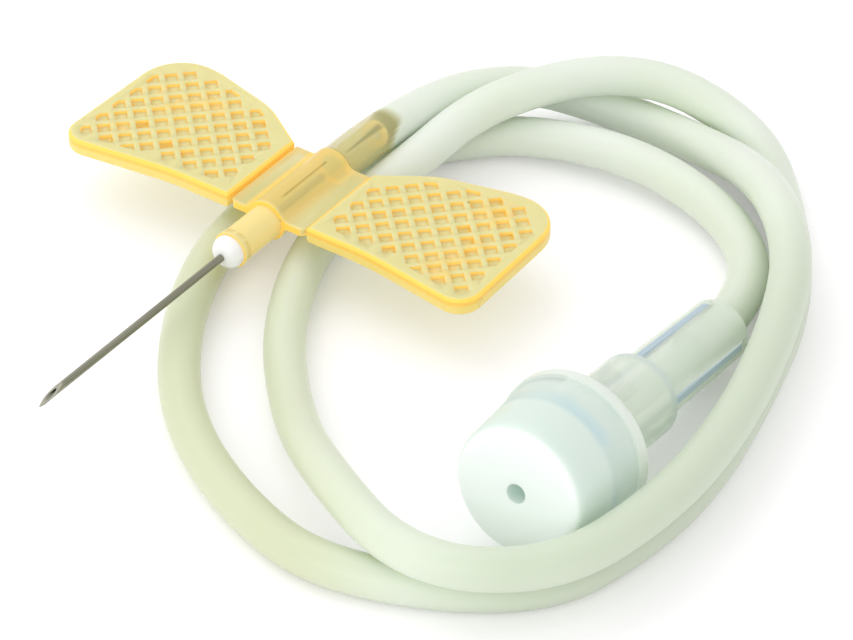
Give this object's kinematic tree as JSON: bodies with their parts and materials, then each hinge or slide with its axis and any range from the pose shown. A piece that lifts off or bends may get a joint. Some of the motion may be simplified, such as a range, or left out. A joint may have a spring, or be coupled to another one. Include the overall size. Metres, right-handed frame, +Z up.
{
  "type": "winged infusion set",
  "caption": "Winged infusion set: bare needle in a hub with two foldable finger wings, coiled clear tubing and a capped female luer connector.",
  "frame": {"origin": "on the needle's axis, where the bare steel leaves the white bond at the hub's nose", "axes": "+X along the needle towards its point, +Y out to the left wing seen from the tubing, +Z up off the skin, square to the flat hub and wings"},
  "size_m": [0.0537, 0.0538, 0.01],
  "materials": {
    "needle_steel": "satin",
    "bond_white": "gloss",
    "hub_amber": "translucent, satin",
    "wing_amber": "translucent, frosted",
    "tube_clear": "translucent, gloss",
    "connector_clear": "translucent, gloss",
    "cap_white": "satin"
  },
  "bodies": {
    "set": {"needle_cannula": "needle_steel", "needle_bond": "bond_white", "wing_hub": "hub_amber", "tubing": "tube_clear", "luer_connector": "connector_clear"},
    "left_wing": {"left_wing": "wing_amber"},
    "right_wing": {"right_wing": "wing_amber"},
    "cap": {"luer_cap": "cap_white"}
  },
  "joints": [
    {"name": "left_wing_fold", "type": "hinge", "parent": "set", "child": "left_wing", "pos_m": [-0.00835, 0.00285, 0.0002], "axis": [1, 0, 0], "range_deg": [0, 85], "stiffness_Nm_per_rad": 0.0002},
    {"name": "right_wing_fold", "type": "hinge", "parent": "set", "child": "right_wing", "pos_m": [-0.00835, -0.00285, 0.0002], "axis": [-1, 0, 0], "range_deg": [0, 85], "stiffness_Nm_per_rad": 0.0002},
    {"name": "cap_twist", "type": "hinge", "parent": "set", "child": "cap", "pos_m": [0.00659, 0.02922, 0.00118], "axis": [0.9897, 0.0346, 0.1392], "range_deg": [0, 90]}
  ]
}
